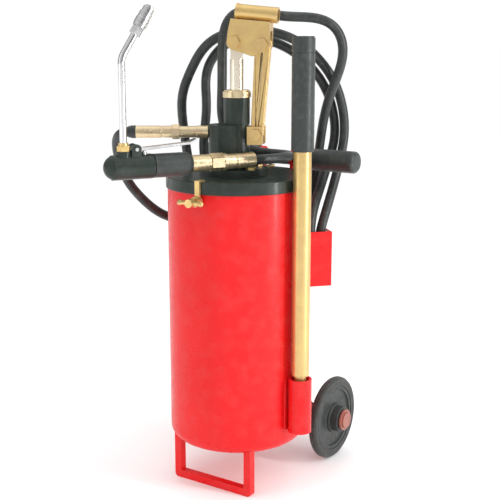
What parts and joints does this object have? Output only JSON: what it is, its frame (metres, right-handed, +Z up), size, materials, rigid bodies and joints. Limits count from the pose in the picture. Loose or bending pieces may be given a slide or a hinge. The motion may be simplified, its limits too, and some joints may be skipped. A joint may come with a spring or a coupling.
{
  "type": "wheeled hand grease pump",
  "caption": "Closed red drum on two wheels and a foot, with a hand-lever grease pump on the lid, a coiled delivery hose, a trigger gun and a removable lever.",
  "frame": {"origin": "centre of the underside of the front foot bar, which is the mount foot", "axes": "+Z up along the drum's axis; +X along the wheel axle, towards the wheel on the right when looking from the foot; -Y towards the front, the foot's side; +Y towards the wheels and the handlebar"},
  "size_m": [0.3274, 0.4204, 0.7303],
  "materials": {
    "red_paint": "bright red gloss enamel",
    "black_paint": "satin black paint",
    "yellow_zinc": "yellow-passivated zinc plate",
    "pale_zinc": "pale passivated zinc plate",
    "chrome": "polished hard chrome",
    "bright_steel": "bright turned steel",
    "plain_steel": "plain drawn steel",
    "brass": "plain brass",
    "tyre_rubber": "moulded tyre rubber",
    "wheel_plastic": "moulded dark grey plastic",
    "cap_plastic": "red-brown moulded cap",
    "grip_rubber": "satin black grip rubber",
    "hose_rubber": "smooth black hose cover",
    "seal_rubber": "black nitrile rubber"
  },
  "bodies": {
    "drum_and_pump": {"drum_shell": "red_paint", "lid": "black_paint", "lid_gasket": "seal_rubber", "lever_pocket": "red_paint", "hose_hook": "red_paint", "foot_frame": "red_paint", "axle_brackets": "red_paint", "axle": "red_paint", "axle_washers": "bright_steel", "axle_caps": "cap_plastic", "handlebar": "black_paint", "handlebar_brackets": "red_paint", "handlebar_grips": "grip_rubber", "clamp_brackets": "yellow_zinc", "pump_gasket": "seal_rubber", "flange_bolts": "yellow_zinc", "pump_body": "black_paint", "gland_nut": "pale_zinc", "rod_seal": "seal_rubber", "pump_tube": "plain_steel", "foot_valve_body": "brass", "foot_valve_ball": "bright_steel", "link_anchor": "yellow_zinc", "link_foot_pin": "yellow_zinc", "outlet_valve_ball": "bright_steel", "outlet_valve_spring": "plain_steel", "outlet_nipple": "pale_zinc", "outlet_ferrule": "pale_zinc", "hose_collar": "hose_rubber", "hose": "hose_rubber", "gun_ferrule": "pale_zinc"},
    "wheel_left_body": {"tyre_left": "tyre_rubber", "wheel_core_left": "wheel_plastic"},
    "wheel_right_body": {"tyre_right": "tyre_rubber", "wheel_core_right": "wheel_plastic"},
    "clamp_front": {"clamp_screw_front": "yellow_zinc"},
    "clamp_rear": {"clamp_screw_rear": "yellow_zinc"},
    "follower": {"follower_plate": "plain_steel", "follower_seal": "seal_rubber"},
    "piston_assembly": {"piston_rod": "chrome", "piston": "plain_steel", "piston_seal": "seal_rubber"},
    "link": {"link_straps": "yellow_zinc", "fulcrum_pin": "yellow_zinc"},
    "fork": {"lever_fork": "yellow_zinc", "rod_pin": "yellow_zinc"},
    "lever": {"lever_tube": "yellow_zinc", "lever_grip": "grip_rubber"},
    "gun": {"gun_swivel": "pale_zinc", "gun_body": "black_paint", "gun_grip": "grip_rubber", "trigger_pin": "bright_steel", "gun_plunger_spring": "plain_steel", "spout_nut": "yellow_zinc", "spout_tube": "chrome", "coupler_body": "bright_steel", "coupler_sleeve": "bright_steel", "coupler_jaws": "bright_steel"},
    "trigger": {"gun_trigger": "bright_steel"},
    "plunger": {"gun_plunger": "bright_steel"}
  },
  "joints": [
    {"name": "wheel_left_spin", "type": "hinge", "parent": "drum_and_pump", "child": "wheel_left_body", "pos_m": [-0.095, 0.202, 0.0675], "axis": [1, 0, 0], "continuous": true},
    {"name": "wheel_right_spin", "type": "hinge", "parent": "drum_and_pump", "child": "wheel_right_body", "pos_m": [0.095, 0.202, 0.0675], "axis": [1, 0, 0], "continuous": true},
    {"name": "clamp_front_turn", "type": "hinge", "parent": "drum_and_pump", "child": "clamp_front", "pos_m": [0.00802, -0.04972, 0.453], "axis": [0.0698, -0.9976, 0], "continuous": true},
    {"name": "clamp_rear_turn", "type": "hinge", "parent": "drum_and_pump", "child": "clamp_rear", "pos_m": [-0.00802, 0.17972, 0.453], "axis": [-0.0698, 0.9976, 0], "continuous": true},
    {"name": "follower_slide", "type": "slide", "parent": "drum_and_pump", "child": "follower", "axis": [0, 0, 1], "range_m": [-0.185, 0.14]},
    {"name": "link_swing", "type": "hinge", "parent": "drum_and_pump", "child": "link", "pos_m": [0.02874, 0.07661, 0.54], "axis": [-0.3746, 0.9272, 0], "range_deg": [-0.4, 0.4]},
    {"name": "pump_stroke", "type": "hinge", "parent": "link", "child": "fork", "pos_m": [0.03709, 0.07998, 0.671], "axis": [-0.3746, 0.9272, 0], "range_deg": [-25, 17]},
    {"name": "piston_slide", "type": "slide", "parent": "drum_and_pump", "child": "piston_assembly", "axis": [0, 0, 1], "range_m": [-0.0178, 0.0121]},
    {"name": "lever_lift_out", "type": "slide", "parent": "drum_and_pump", "child": "lever", "axis": [0, 0, 1], "range_m": [0, 0.09]},
    {"name": "gun_swivel_turn", "type": "hinge", "parent": "drum_and_pump", "child": "gun", "pos_m": [0.01718, 0.01008, 0.505], "axis": [-0.5015, -0.8652, 0], "range_deg": [-60, 25]},
    {"name": "trigger_press", "type": "hinge", "parent": "gun", "child": "trigger", "pos_m": [-0.05198, -0.10922, 0.53], "axis": [-0.8652, 0.5015, 0], "range_deg": [0, 7]},
    {"name": "plunger_press", "type": "slide", "parent": "gun", "child": "plunger", "axis": [0, 0, -1], "range_m": [0, 0.002], "deforming": ["gun_plunger_spring"]}
  ],
  "couplings": [
    {"joint": "piston_slide", "follows": "pump_stroke", "m_per_rad": 0.0404},
    {"joint": "plunger_press", "follows": "trigger_press", "m_per_rad": 0.0135}
  ]
}
